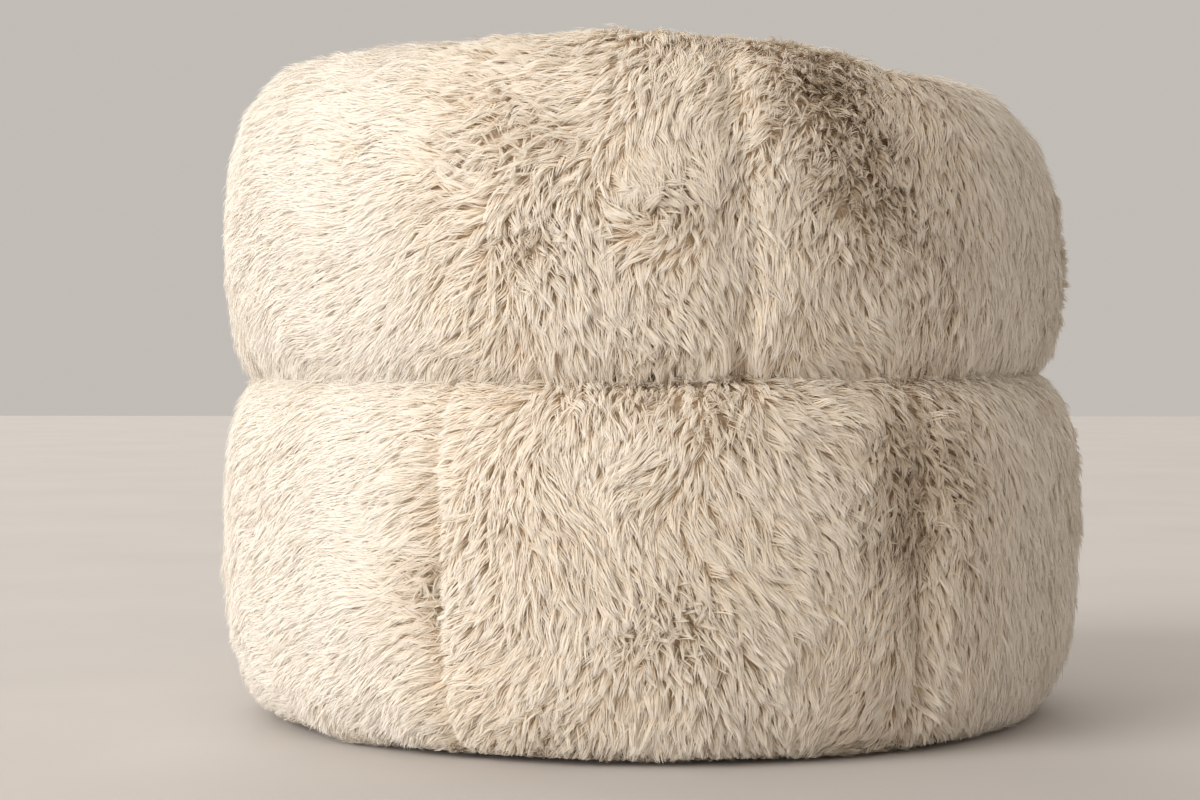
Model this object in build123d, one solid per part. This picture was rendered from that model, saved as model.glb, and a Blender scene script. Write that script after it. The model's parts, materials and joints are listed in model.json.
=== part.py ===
from build123d import *
import math
import os

# Round tub-style bean bag chair in long-pile faux fur, in millimetres.
# +Z is up, the floor is Z = 0, the Z axis runs through the middle of the drum.
# The seat opens towards -Y and the middle of the back is on +Y.
# Angles round the chair are measured from +Y towards -X.

# ---- driving dimensions ----
PILE = 28.0            # thickness of a fur panel, from backing cloth to fur tips
GAP = 0.3              # clearance between hard or sewn neighbours
LOOSE = 0.8            # clearance between a fur panel and the liner, or the liner and its filling
SEAM = 0.05            # half of the slit at a vertical seam, in degrees

DRUM_RADIUS = 522.0    # widest radius of the lower tier
FLOOR_RADIUS = 452.0   # radius of the lower tier where it meets the floor
WAIST_RADIUS = 478.0   # radius of the pinch between the tiers
WAIST_Z = 412.0        # height of the pinch
DRUM_PANELS = 6
DRUM_FIRST_SEAM = -25.0

BOLSTER_RADIUS = 395.0      # radius of the bolster's centre line
BOLSTER_HALF_WIDTH = 115.0  # half of the bolster's thickness
BACK_TOP_Z = 797.0          # height of the back
ARM_TOP_Z = 655.0           # height of the arm fronts
SLUMP = 36.0                # how much lower the top is on the positive-angle side
SLUMP_ANGLE = 55.0          # where that drop is complete
LEVEL_ANGLE = 62.0          # past this, each side eases down to its arm front
BACK_SEAM = 12.5            # the vertical seam in the back, a little off its middle
ARM_ANGLE = 116.0           # each arm runs this far round, before its rounded front
LOFT_STEP = 5.0             # largest angle between two sections of the bolster

SEAT_TOP_Z = 446.0
SEAT_RADIUS = 476.0
SEAT_EDGE_ROUND = 14.0

BASE_HEIGHT = 17.0     # thickness of the quilted base cloth
BASE_RADIUS = FLOOR_RADIUS - PILE - LOOSE
LINER = 1.0            # thickness of the liner cloth
LINER_Z = BASE_HEIGHT + LOOSE
LINER_TOP = WAIST_Z - 2.0
DIVIDER = 1.2          # thickness of the cloth between the tiers

# Zips: every height is above the face that the zip's channel opens through.
CHANNEL_HALF_WIDTH = 24.0
CHANNEL_END = 16.0     # the channel runs this far past the coils at each end
SLIT_HALF_WIDTH = 10.0
TAPE_Z = 14.1
TAPE = 0.8
TAPE_HALF_WIDTH = 22.0
COIL_HEIGHT = 2.1
COIL_INNER = 1.4
COIL_OUTER = 4.4
SLIDER_LENGTH = 13.0
SLIDER_HALF_WIDTH = 6.0
SLIDER_CORNER = 2.5
PLATE = 0.8
PULL_PIN_Z = 9.4
PULL_HOLE = 1.0        # radius of the lug's hole
LUG_HALF_LENGTH = 2.6
LUG_HALF_WIDTH = 1.2
PULL_LENGTH = 16.0
PULL_HALF_WIDTH = 3.4
PULL_ARM = 1.4         # width of each of the pull's two arms
PULL = 1.2
LABEL_X = (-150.0, -116.0)
LABEL_Y = (7.5, 20.5)
LABEL = 0.4            # thickness of the care label

STOP = 3.0             # length of a zip's end stop
PARKED = 0.5           # how far from the end stop the closed slider stands

BASE_ZIP_LENGTH = 620.0
LINER_ZIP_LENGTH = 380.0
LINER_ZIP_Y = 95.0


def at(radius, z, angle):
    """The point at a radius and height, at an angle from +Y towards -X."""
    turn = math.radians(angle)
    return Vector(-radius * math.sin(turn), radius * math.cos(turn), z)


def block(x, y, z):
    """A box from (low, high) pairs."""
    size = [high - low for low, high in (x, y, z)]
    centre = [(high + low) / 2 for low, high in (x, y, z)]
    return Pos(*centre) * Box(*size)


# ---- lower tier ----
def drum_curve(inset):
    """The outer line of the lower tier, from the floor to the waist."""
    return Spline(
        at(FLOOR_RADIUS - inset, 0, 0),
        at(DRUM_RADIUS - 20 - inset, 48, 0),
        at(DRUM_RADIUS - 6 - inset, 120, 0),
        at(DRUM_RADIUS - 1 - inset, 200, 0),
        at(DRUM_RADIUS - inset, 270, 0),
        at(DRUM_RADIUS - 10 - inset, 345, 0),
        at(WAIST_RADIUS - inset, WAIST_Z, 0),
    )


def drum_panel(first, last):
    """One wall panel of fur cloth, between two vertical seams."""
    outer = drum_curve(0)
    inner = drum_curve(PILE)
    section = make_face([
        outer,
        Line(outer @ 1, inner @ 1),
        inner,
        Line(inner @ 0, outer @ 0),
    ])
    arc = last - first - 2 * SEAM
    panel = revolve(section, Axis.Z, arc)
    return Rot(0, 0, first + SEAM) * panel


def drum_core(inset, low, high):
    """The solid drum inside the walls, between two heights."""
    curve = drum_curve(inset)
    section = make_face([
        curve,
        Line(curve @ 1, at(0, WAIST_Z, 0)),
        Line(at(0, WAIST_Z, 0), at(0, 0, 0)),
        Line(at(0, 0, 0), curve @ 0),
    ])
    reach = (-DRUM_RADIUS, DRUM_RADIUS)
    return revolve(section, Axis.Z, 360) & block(reach, reach, (low, high))


# ---- upper tier ----
# Half of the bolster's section: (share of the half width, share of the height).
HALF_SECTION = [
    (0.72, 0.0),
    (0.92, 0.11),
    (1.0, 0.38),
    (0.965, 0.64),
    (0.78, 0.84),
    (0.42, 0.963),
    (0.15, 0.996),
    (0.0, 1.0),
]


def ease(share):
    """A smooth step from 0 to 1."""
    return 0.5 - 0.5 * math.cos(math.pi * min(max(share, 0.0), 1.0))


def top_z(angle):
    """Height of the bolster: slumped on one side, easing down to the arm fronts."""
    level = BACK_TOP_Z - SLUMP * ease(angle / SLUMP_ANGLE)
    fall = ease((abs(angle) - LEVEL_ANGLE) / (ARM_ANGLE - LEVEL_ANGLE))
    return level + (ARM_TOP_Z - level) * fall


def half_curve(angle, side, inset, slit=0.0):
    """The line from the waist to the ridge, outside (side 1) or on the seat side (side -1)."""
    width = BOLSTER_HALF_WIDTH - inset
    middle = BOLSTER_RADIUS + side * slit
    base = WAIST_Z + GAP
    height = top_z(angle) - inset - base
    points = [at(middle + side * u * width, base + v * height, angle) for u, v in HALF_SECTION]
    return Spline(*points)


def skin_section(angle, side, slit):
    """Section of one fur panel of the bolster, this far from the ridge seam."""
    outer = half_curve(angle, side, 0, slit)
    inner = half_curve(angle, side, PILE, slit)
    return make_face([
        outer,
        Line(outer @ 1, inner @ 1),
        inner,
        Line(inner @ 0, outer @ 0),
    ])


def core_section(angle, inset):
    """Section of the stuffing inside the bolster."""
    outside = half_curve(angle, 1, inset)
    inside = half_curve(angle, -1, inset)
    return make_face([outside, inside, Line(inside @ 0, outside @ 0)])


def angles_between(first, last):
    """Evenly spaced angles, no further apart than LOFT_STEP."""
    count = math.ceil((last - first) / LOFT_STEP)
    return [first + (last - first) * i / count for i in range(count + 1)]


def bolster_panel(first, last, side):
    """One fur panel of the bolster, between two vertical seams."""
    sections = [skin_section(a, side, GAP / 2) for a in angles_between(first + SEAM, last - SEAM)]
    return loft(sections)


def arm_axis(side):
    """The upright line that a rounded arm front turns about."""
    return Axis(at(BOLSTER_RADIUS, 0, side * ARM_ANGLE), (0, 0, 1))


def arm_front(side):
    """The rounded fur front of one arm."""
    section = skin_section(side * ARM_ANGLE, 1, 0)
    front = revolve(section, arm_axis(side), side * 180)
    shift = at(1, 0, side * (ARM_ANGLE + 90)) * GAP
    return Pos(shift.X, shift.Y, 0) * front


def bolster_core(inset):
    """The C-shaped stuffing with its two rounded ends."""
    core = loft([core_section(a, inset) for a in angles_between(-ARM_ANGLE, ARM_ANGLE)])
    for side in (-1, 1):
        curve = half_curve(side * ARM_ANGLE, 1, inset)
        foot = at(BOLSTER_RADIUS, WAIST_Z + GAP, side * ARM_ANGLE)
        half = make_face([curve, Line(curve @ 1, foot), Line(foot, curve @ 0)])
        core = core + revolve(half, arm_axis(side), side * 180)
    return core


# ---- seat ----
def seat_panel():
    """The seat: a disc between the arms that widens to the front edge of the drum."""
    low = WAIST_Z + GAP
    height = SEAT_TOP_Z - low
    inner = BOLSTER_RADIUS - BOLSTER_HALF_WIDTH - 3
    seat = Circle(SEAT_RADIUS)
    wide = DRUM_RADIUS * 2
    corners = [at(wide, 0, a) for a in (-ARM_ANGLE, -58, 0, 58, ARM_ANGLE)]
    wedge = make_face(Polyline((0, 0, 0), *corners, close=True))
    seat -= wedge - Circle(inner)
    for side in (-1, 1):
        spot = at(BOLSTER_RADIUS, 0, side * ARM_ANGLE)
        seat -= Pos(spot.X, spot.Y) * Circle(BOLSTER_HALF_WIDTH + 3)
    seat = Pos(0, 0, low) * extrude(seat, height)
    return fillet(seat.faces().sort_by(Axis.Z)[-1].edges(), SEAT_EDGE_ROUND)


# ---- base ----
def base_panel(side):
    """One half of the quilted base cloth, with its half of the zip channel."""
    disc = Pos(0, 0, BASE_HEIGHT / 2) * Cylinder(BASE_RADIUS, BASE_HEIGHT)
    far = side * DRUM_RADIUS
    near = side * 0.25
    half = disc & block((-DRUM_RADIUS, DRUM_RADIUS), sorted((near, far)), (0, BASE_HEIGHT))
    end = BASE_ZIP_LENGTH / 2 + CHANNEL_END
    channel = block((-end, end), (-CHANNEL_HALF_WIDTH, CHANNEL_HALF_WIDTH), (0, TAPE_Z + TAPE))
    slit = block((-end, end), (-SLIT_HALF_WIDTH, SLIT_HALF_WIDTH), (0, BASE_HEIGHT))
    return half - channel - slit


# ---- zips ----
def zip_tape(length, side):
    end = length / 2 + 10
    y = sorted((side * COIL_INNER, side * TAPE_HALF_WIDTH))
    return block((-end, end), y, (TAPE_Z, TAPE_Z + TAPE))


def zip_coil(length, side):
    y = sorted((side * COIL_INNER, side * COIL_OUTER))
    rail = block((-length / 2, length / 2), y, (TAPE_Z - COIL_HEIGHT, TAPE_Z))
    return fillet(rail.edges().filter_by(Axis.X).group_by(Axis.Z)[0], 0.7)


def zip_stops(length):
    """The two crimped stops, one past each end of the coils."""
    stops = []
    for side in (-1, 1):
        x = sorted((side * (length / 2 + GAP), side * (length / 2 + GAP + STOP)))
        stop = block(x, (-4.2, 4.2), (TAPE_Z - COIL_HEIGHT, TAPE_Z))
        stops.append(fillet(stop.edges().filter_by(Axis.Z), 1.0))
    return Compound(children=stops)


def slider_body():
    """A slider round both coils: two plates, two flanges and the bridge between the coils."""
    half = SLIDER_LENGTH / 2
    under = TAPE_Z - COIL_HEIGHT - GAP
    over = TAPE_Z + TAPE + GAP
    wide = (-SLIDER_HALF_WIDTH, SLIDER_HALF_WIDTH)
    lower = block((-half, half), wide, (under - PLATE, under))
    upper = block((-half, half), wide, (over, over + PLATE))
    lower = fillet(lower.edges().filter_by(Axis.Z), SLIDER_CORNER)
    upper = fillet(upper.edges().filter_by(Axis.Z), SLIDER_CORNER)
    bridge = block((-half + 2, half - 3), (GAP - COIL_INNER, COIL_INNER - GAP), (under, over))
    body = lower + upper + bridge
    for side in (-1, 1):
        y = sorted((side * (COIL_OUTER + GAP), side * SLIDER_HALF_WIDTH))
        body += block((SLIDER_CORNER - half, half - SLIDER_CORNER), y, (under, TAPE_Z - GAP))
    return body


def pull_slider():
    """The base zip's slider: the body with a drilled lug for the pull."""
    under = TAPE_Z - COIL_HEIGHT - GAP - PLATE
    x = (-LUG_HALF_LENGTH, LUG_HALF_LENGTH)
    y = (-LUG_HALF_WIDTH, LUG_HALF_WIDTH)
    lug = block(x, y, (PULL_PIN_Z - PULL_HOLE - PLATE, under))
    lug = fillet(lug.edges().filter_by(Axis.Y).group_by(Axis.Z)[0], 1.5)
    hole = Pos(0, 0, PULL_PIN_Z) * Rot(90, 0, 0) * Cylinder(PULL_HOLE, 6)
    return slider_body() + (lug - hole)


def pull_tab():
    """The pull: a slim tab on two arms, joined by the pin that turns in the lug."""
    z = (PULL_PIN_Z - PULL / 2, PULL_PIN_Z + PULL / 2)
    start = LUG_HALF_LENGTH + PLATE
    outside = LUG_HALF_WIDTH + 0.4 + PULL_ARM
    tab = block((start, PULL_LENGTH), (-PULL_HALF_WIDTH, PULL_HALF_WIDTH), z)
    tab = fillet(tab.edges().filter_by(Axis.Z).group_by(Axis.X)[-1], 3.0)
    tab -= Pos(PULL_LENGTH - 4.2, 0, PULL_PIN_Z) * Cylinder(1.5, 4)
    tab += Pos(0, 0, PULL_PIN_Z) * Rot(90, 0, 0) * Cylinder(PULL / 2, 2 * outside)
    for side in (-1, 1):
        tab += block((0, start), sorted((side * (outside - PULL_ARM), side * outside)), z)
    return tab


# ---- inside ----
def liner_channel(grow, height):
    """Room for the liner's zip, in the drum's liner and stuffing."""
    end = LINER_ZIP_LENGTH / 2 + CHANNEL_END + grow
    half = CHANNEL_HALF_WIDTH + grow
    y = (LINER_ZIP_Y - half, LINER_ZIP_Y + half)
    return block((-end, end), y, (0, LINER_Z + height))


def drum_liner():
    ledge = TAPE_Z + TAPE
    outer = drum_core(PILE + LOOSE, LINER_Z, LINER_TOP) - liner_channel(0, ledge)
    inner = drum_core(PILE + LOOSE + LINER, LINER_Z + LINER, LINER_TOP - LINER)
    inner -= liner_channel(LINER, ledge + LINER)
    end = LINER_ZIP_LENGTH / 2 + CHANNEL_END
    y = (LINER_ZIP_Y - SLIT_HALF_WIDTH, LINER_ZIP_Y + SLIT_HALF_WIDTH)
    slit = block((-end, end), y, (0, LINER_Z + ledge + 2 * LINER))
    return outer - inner - slit


def drum_fill():
    low = LINER_Z + LINER + LOOSE
    high = LINER_TOP - LINER - LOOSE
    room = liner_channel(LINER + LOOSE, TAPE_Z + TAPE + GAP + PLATE + LINER)
    return drum_core(PILE + 2 * LOOSE + LINER, low, high) - room


def divider():
    """The cloth between the drum and the bolster."""
    low = WAIST_Z - 1.5
    return Pos(0, 0, low + DIVIDER / 2) * Cylinder(WAIST_RADIUS - PILE - 1, DIVIDER)


def care_label():
    """A blank label, sewn along the base zip's tape."""
    return block(LABEL_X, LABEL_Y, (TAPE_Z - LABEL, TAPE_Z))


# ---- write one file per sub-part ----
os.makedirs("parts", exist_ok=True)


def write(shape, node):
    export_step(shape, f"parts/{node}.step")


for index in range(DRUM_PANELS):
    start = DRUM_FIRST_SEAM + index * 360 / DRUM_PANELS
    write(drum_panel(start, start + 360 / DRUM_PANELS), f"drum_fur_panel_{index + 1}")

OUTER_SEAMS = {
    "side_left": (-ARM_ANGLE, -76),
    "back_left": (-76, BACK_SEAM),
    "back_right": (BACK_SEAM, 76),
    "side_right": (76, ARM_ANGLE),
}
for name, (start, stop) in OUTER_SEAMS.items():
    write(bolster_panel(start, stop, 1), f"outer_fur_{name}")

for index in range(4):
    start = -ARM_ANGLE + index * ARM_ANGLE / 2
    write(bolster_panel(start, start + ARM_ANGLE / 2, -1), f"inner_fur_panel_{index + 1}")

write(arm_front(-1), "arm_front_fur_left")
write(arm_front(1), "arm_front_fur_right")
write(seat_panel(), "seat_fur_panel")
write(base_panel(1), "base_cloth_rear")
write(base_panel(-1), "base_cloth_front")

to_liner = Pos(0, LINER_ZIP_Y, LINER_Z)
for name, side in (("rear", 1), ("front", -1)):
    write(zip_tape(BASE_ZIP_LENGTH, side), f"base_zip_tape_{name}")
    write(zip_coil(BASE_ZIP_LENGTH, side), f"base_zip_coil_{name}")
    write(to_liner * zip_tape(LINER_ZIP_LENGTH, side), f"liner_zip_tape_{name}")
    write(to_liner * zip_coil(LINER_ZIP_LENGTH, side), f"liner_zip_coil_{name}")
write(zip_stops(BASE_ZIP_LENGTH), "base_zip_stops")
write(to_liner * zip_stops(LINER_ZIP_LENGTH), "liner_zip_stops")

base_closed = Pos(BASE_ZIP_LENGTH / 2 - SLIDER_LENGTH / 2 - PARKED, 0, 0)
liner_closed = Pos(LINER_ZIP_LENGTH / 2 - SLIDER_LENGTH / 2 - PARKED, 0, 0)
write(base_closed * pull_slider(), "base_zip_slider")
write(base_closed * pull_tab(), "base_zip_pull")
write(to_liner * liner_closed * slider_body(), "liner_zip_slider")

write(drum_liner(), "drum_liner")
write(drum_fill(), "drum_bead_fill")
write(divider(), "divider_cloth")
write(bolster_core(PILE + LOOSE) - bolster_core(PILE + LOOSE + LINER), "bolster_liner")
write(bolster_core(PILE + 2 * LOOSE + LINER), "bolster_fill")
write(care_label(), "care_label")
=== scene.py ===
import json
import math

import bpy
import numpy as np
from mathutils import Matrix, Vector


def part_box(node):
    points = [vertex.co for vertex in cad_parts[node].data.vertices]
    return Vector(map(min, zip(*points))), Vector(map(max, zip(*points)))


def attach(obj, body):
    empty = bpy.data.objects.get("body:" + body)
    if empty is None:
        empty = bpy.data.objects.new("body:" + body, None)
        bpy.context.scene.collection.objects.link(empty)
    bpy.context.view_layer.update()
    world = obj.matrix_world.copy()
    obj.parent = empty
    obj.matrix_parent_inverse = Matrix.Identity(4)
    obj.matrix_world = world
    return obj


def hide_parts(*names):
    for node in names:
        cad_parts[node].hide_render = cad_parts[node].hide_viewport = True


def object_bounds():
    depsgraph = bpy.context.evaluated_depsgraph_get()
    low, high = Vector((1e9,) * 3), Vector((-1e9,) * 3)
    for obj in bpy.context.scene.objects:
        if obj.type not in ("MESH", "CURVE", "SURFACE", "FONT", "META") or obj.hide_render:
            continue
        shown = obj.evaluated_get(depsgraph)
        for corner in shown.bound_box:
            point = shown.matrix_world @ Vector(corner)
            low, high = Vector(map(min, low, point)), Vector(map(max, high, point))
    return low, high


# A round tub bean bag chair in long faux fur. Each fur panel is a backing cloth, swollen by
# simulation, with its pile on it as tapered ribbons. The chair opens towards -Y, and its back is on +Y.

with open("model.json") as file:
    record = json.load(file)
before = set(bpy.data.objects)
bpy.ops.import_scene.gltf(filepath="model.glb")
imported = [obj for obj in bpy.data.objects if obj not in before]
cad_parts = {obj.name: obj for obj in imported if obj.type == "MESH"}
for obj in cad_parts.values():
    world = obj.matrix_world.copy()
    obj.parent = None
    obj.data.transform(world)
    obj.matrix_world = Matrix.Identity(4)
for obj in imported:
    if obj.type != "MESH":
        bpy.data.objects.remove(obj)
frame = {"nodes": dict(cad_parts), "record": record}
CAD_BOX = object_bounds()

# ---------------------------------------------------------------------------
# Sizes, in metres, read from the frame
# ---------------------------------------------------------------------------
DRUM_R = CAD_BOX[1].x
WAIST_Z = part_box("drum_fur_panel_2")[1].z
BACK_TOP_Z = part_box("outer_fur_back_left")[1].z
ARM_TOP_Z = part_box("arm_front_fur_left")[1].z
BASE_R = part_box("base_cloth_rear")[1].y
BASE_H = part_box("base_cloth_rear")[1].z
RIDGE_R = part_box("inner_fur_panel_2")[1].y
HALF_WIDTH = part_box("outer_fur_back_left")[1].y - RIDGE_R

BACKING = 0.017            # how far the backing cloth lies inside the sides of the frame's panels
TOP_BACKING = 0.022        # and under their top
SLUMP = 0.036              # the top is this much lower on one side
SLUMP_ANGLE = 55.0         # where that drop is complete
FAR_SLUMP = 0.010          # and it gives a little on the other side too
FAR_SLUMP_ANGLE = 28.0
LEVEL_ANGLE = 62.0         # past this, the top eases down to the arm fronts
ARM_ANGLE = 116.0
LEAN_AT_WAIST = 0.006      # the bolster sits askew on the drum by this much,
LEAN = 0.012               # and leans this much further at its top
DRUM_SEAMS = [-25.0 + 60.0 * i for i in range(7)]
OUTER_SEAMS = [-ARM_ANGLE, -76.0, 12.5, 76.0, ARM_ANGLE]
OUTER_NODES = ["outer_fur_side_left", "outer_fur_back_left", "outer_fur_back_right", "outer_fur_side_right"]
INNER_SEAMS = [-ARM_ANGLE + ARM_ANGLE / 2 * i for i in range(5)]
SEAM_REACH = 2.6           # a seam's groove fades out this many degrees to each side
SEAM_DEPTH = 0.011
INNER_SEAM_REACH = 3.5
INNER_SEAM_DEPTH = 0.006
PIN_REACH = 0.8            # the cloth is held down this many degrees to each side of a seam
CLOTH = 0.002              # thickness of the fur's backing cloth

SWELL = 6.0                # pressure that swells the two tiers' cloth in the simulation
SWELL_CAP = 0.012          # and how far it may move
SEAT_SWELL = 8.0
SEAT_SWELL_CAP = 0.022
SEAT_VOXEL = 0.008
SEAT_PRESS = 0.026         # how far the seat's sides press out under the bolster
SEAT_FLATTEN = 0.55        # the share of its height that the seat keeps under its pile

LINING_DEPTH = 0.005       # how far the bolster's lining lies under its fur cloth
STUFFING_DEPTH = 0.010
QUILT = 0.085              # pitch of the base cloth's quilting
QUILT_DEPTH = 0.004
COIL_WIRE = 0.00034        # radius of the zip coils' wire
COIL_PITCH = 0.0018
COIL_STEPS, COIL_SIDES = 10, 5
FLOOR_HALF = 12.0


# ---------------------------------------------------------------------------
# Small helpers
# ---------------------------------------------------------------------------
def unit(v):
    return v / np.maximum(np.linalg.norm(v, axis=-1, keepdims=True), 1e-9)


def around(angle):
    """Outward direction at angles in degrees, measured from +Y towards -X."""
    a = np.radians(angle)
    return np.stack([-np.sin(a), np.cos(a), np.zeros_like(a)], -1)


class Noise:
    """Smooth noise in space: a sum of seeded waves. Its values are about -1 to 1."""

    def __init__(self, size, seed, waves=14):
        r = np.random.default_rng(seed)
        self.k = unit(r.normal(size=(waves, 3))) * (2 * math.pi / size) * r.uniform(0.5, 1.4, (waves, 1))
        self.phase = r.uniform(0, 2 * math.pi, waves)
        self.scale = math.sqrt(2 / waves) * 0.75

    def __call__(self, p):
        out = np.zeros(len(p))
        for k, phase in zip(self.k, self.phase):
            out += np.sin(p @ k + phase)
        return out * self.scale


def new_object(name, verts, faces):
    """A mesh object in the scene, from points and faces."""
    mesh = bpy.data.meshes.new(name)
    mesh.from_pydata([tuple(v) for v in verts], [], [tuple(f) for f in faces])
    mesh.update()
    obj = bpy.data.objects.new(name, mesh)
    bpy.context.scene.collection.objects.link(obj)
    return obj


# ---------------------------------------------------------------------------
# Materials
# ---------------------------------------------------------------------------
def material(name):
    """A new node material, its node tree and its Principled shader."""
    mat = bpy.data.materials.new(name)
    mat.use_nodes = True
    tree = mat.node_tree
    shader = tree.nodes["Principled BSDF"]
    return mat, tree, shader


def ramp(tree, value, stops):
    """A colour ramp of (position, colour) stops, driven by a value."""
    node = tree.nodes.new("ShaderNodeValToRGB")
    while len(node.color_ramp.elements) < len(stops):
        node.color_ramp.elements.new(0.5)
    for element, (where, colour) in zip(node.color_ramp.elements, stops):
        element.position = where
        element.color = (*colour, 1)
    tree.links.new(value, node.inputs["Fac"])
    return node.outputs["Color"]


def mix_colour(tree, factor, a, b, blend="MIX"):
    """Mix two colours, each a tuple or a socket."""
    node = tree.nodes.new("ShaderNodeMix")
    node.data_type = "RGBA"
    node.blend_type = blend
    sockets = {s.identifier: s for s in node.inputs}
    if isinstance(factor, float):
        sockets["Factor_Float"].default_value = factor
    else:
        tree.links.new(factor, sockets["Factor_Float"])
    for key, value in (("A_Color", a), ("B_Color", b)):
        if isinstance(value, tuple):
            sockets[key].default_value = (*value, 1)
        else:
            tree.links.new(value, sockets[key])
    return {s.identifier: s for s in node.outputs}["Result_Color"]


def fur_material():
    """Long pile. The UV map's V runs from root to tip, with the roots painted darker as shade among the
    strands, and U is each strand's tone, darkened as painted shade where the pile curls.
    """
    mat, tree, shader = material("fur_pile")
    uv = tree.nodes.new("ShaderNodeUVMap")
    uv.uv_map = "OFBake"
    parts = tree.nodes.new("ShaderNodeSeparateXYZ")
    tree.links.new(uv.outputs["UV"], parts.inputs["Vector"])
    # each strand's own colour, painted darker towards its root as shade among the strands
    length = ramp(tree, parts.outputs["Y"], [
        (0.0, (0.62, 0.46, 0.30)), (0.35, (0.85, 0.73, 0.57)),
        (0.7, (0.955, 0.895, 0.80)), (1.0, (0.985, 0.96, 0.92))])
    tone = ramp(tree, parts.outputs["X"], [
        (0.0, (0.70, 0.63, 0.54)), (0.5, (0.95, 0.935, 0.91)), (1.0, (1.0, 1.0, 1.0))])
    colour = mix_colour(tree, 1.0, length, tone, "MULTIPLY")
    tree.links.new(colour, shader.inputs["Base Color"])
    glow = tree.nodes.new("ShaderNodeBsdfTranslucent")
    tree.links.new(colour, glow.inputs["Color"])
    blend = tree.nodes.new("ShaderNodeMixShader")
    blend.inputs["Fac"].default_value = 0.35
    tree.links.new(shader.outputs["BSDF"], blend.inputs[1])
    tree.links.new(glow.outputs["BSDF"], blend.inputs[2])
    tree.links.new(blend.outputs["Shader"], tree.nodes["Material Output"].inputs["Surface"])
    shader.inputs["Roughness"].default_value = 0.62
    shader.inputs["Specular IOR Level"].default_value = 0.28
    shader.inputs["Sheen Weight"].default_value = 0.2
    shader.inputs["Sheen Roughness"].default_value = 0.45
    shader.inputs["Sheen Tint"].default_value = (1.0, 0.95, 0.86, 1)
    return mat


def weave_bump(tree, shader, scale, strength):
    """Crossed threads as bump on the shader. Returns the coordinates and the threads' pattern."""
    coords = tree.nodes.new("ShaderNodeTexCoord")
    waves = []
    for direction in ("X", "Z"):
        wave = tree.nodes.new("ShaderNodeTexWave")
        wave.bands_direction = direction
        wave.inputs["Scale"].default_value = scale
        wave.inputs["Distortion"].default_value = 0.6
        wave.inputs["Detail"].default_value = 1.0
        tree.links.new(coords.outputs["Object"], wave.inputs["Vector"])
        waves.append(wave.outputs["Color"])
    woven = mix_colour(tree, 0.5, waves[0], waves[1], "MIX")
    bump = tree.nodes.new("ShaderNodeBump")
    bump.inputs["Strength"].default_value = strength
    bump.inputs["Distance"].default_value = 0.0005
    tree.links.new(woven, bump.inputs["Height"])
    tree.links.new(bump.outputs["Normal"], shader.inputs["Normal"])
    return coords, woven


def cloth_material(name, dark, light, scale=700.0, strength=0.4, rough=0.9, sheen=0.3):
    """Woven cloth, with its threads as bump and a soft drift between two colours."""
    mat, tree, shader = material(name)
    coords, woven = weave_bump(tree, shader, scale, strength)
    noise = tree.nodes.new("ShaderNodeTexNoise")
    noise.inputs["Scale"].default_value = 22.0
    noise.inputs["Detail"].default_value = 6.0
    tree.links.new(coords.outputs["Object"], noise.inputs["Vector"])
    drift = ramp(tree, noise.outputs["Fac"], [(0.3, dark), (0.7, light)])
    colour = mix_colour(tree, 0.12, drift, woven, "MULTIPLY")
    tree.links.new(colour, shader.inputs["Base Color"])
    shader.inputs["Roughness"].default_value = rough
    shader.inputs["Sheen Weight"].default_value = sheen
    return mat


MATERIALS = {
    "fur": fur_material(),
    "backing": cloth_material("fur_backing", (0.60, 0.48, 0.35), (0.70, 0.58, 0.44), 500.0),
    "base_cloth": cloth_material("base_cloth", (0.012, 0.012, 0.013), (0.03, 0.03, 0.032)),
    "zip_tape": cloth_material("zip_tape", (0.015, 0.015, 0.017), (0.03, 0.03, 0.033), 1400.0),
    "zip_coil": cloth_material("zip_coil", (0.02, 0.02, 0.022), (0.035, 0.035, 0.038),
                               900.0, 0.1, 0.45, 0.0),
    "zip_metal": cloth_material("zip_metal", (0.03, 0.03, 0.033), (0.06, 0.06, 0.066),
                                300.0, 0.05, 0.35, 0.0),
    "liner_cloth": cloth_material("liner_cloth", (0.70, 0.69, 0.65), (0.80, 0.79, 0.76)),
    "fill": cloth_material("fill", (0.80, 0.80, 0.78), (0.92, 0.92, 0.9), 160.0, 0.6),
    "divider_cloth": cloth_material("divider_cloth", (0.42, 0.35, 0.27), (0.52, 0.44, 0.35)),
    "label_satin": cloth_material("label_satin", (0.8, 0.8, 0.78), (0.9, 0.9, 0.88), 1600.0, 0.2, 0.4, 0.1),
}


# ---------------------------------------------------------------------------
# Skins: the backing cloth of each tier
# ---------------------------------------------------------------------------
def smooth_curve(points, count):
    """Evenly spaced points along a Catmull-Rom curve."""
    p = np.array(points, float)
    p = np.vstack([2 * p[0] - p[1], p, 2 * p[-1] - p[-2]])
    fine = []
    for i in range(1, len(p) - 2):
        t = np.linspace(0, 1, 24, endpoint=False)[:, None]
        a, b, c, d = p[i - 1:i + 3]
        bend, twist = 2 * a - 5 * b + 4 * c - d, 3 * b - a - 3 * c + d
        fine.append(0.5 * (2 * b + (c - a) * t + bend * t**2 + twist * t**3))
    fine = np.vstack(fine + [p[-2][None]])
    run = np.concatenate([[0], np.cumsum(np.linalg.norm(np.diff(fine, axis=0), axis=1))])
    at = np.linspace(0, run[-1], count)
    return np.stack([np.interp(at, run, fine[:, k]) for k in range(fine.shape[1])], -1)


def grid_faces(columns, rows, wrap):
    """Quads of a grid whose points run row by row within each column."""
    faces = []
    for i in range(columns if wrap else columns - 1):
        j = (i + 1) % columns
        for k in range(rows - 1):
            faces.append((i * rows + k, j * rows + k, j * rows + k + 1, i * rows + k + 1))
    return faces


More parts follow.
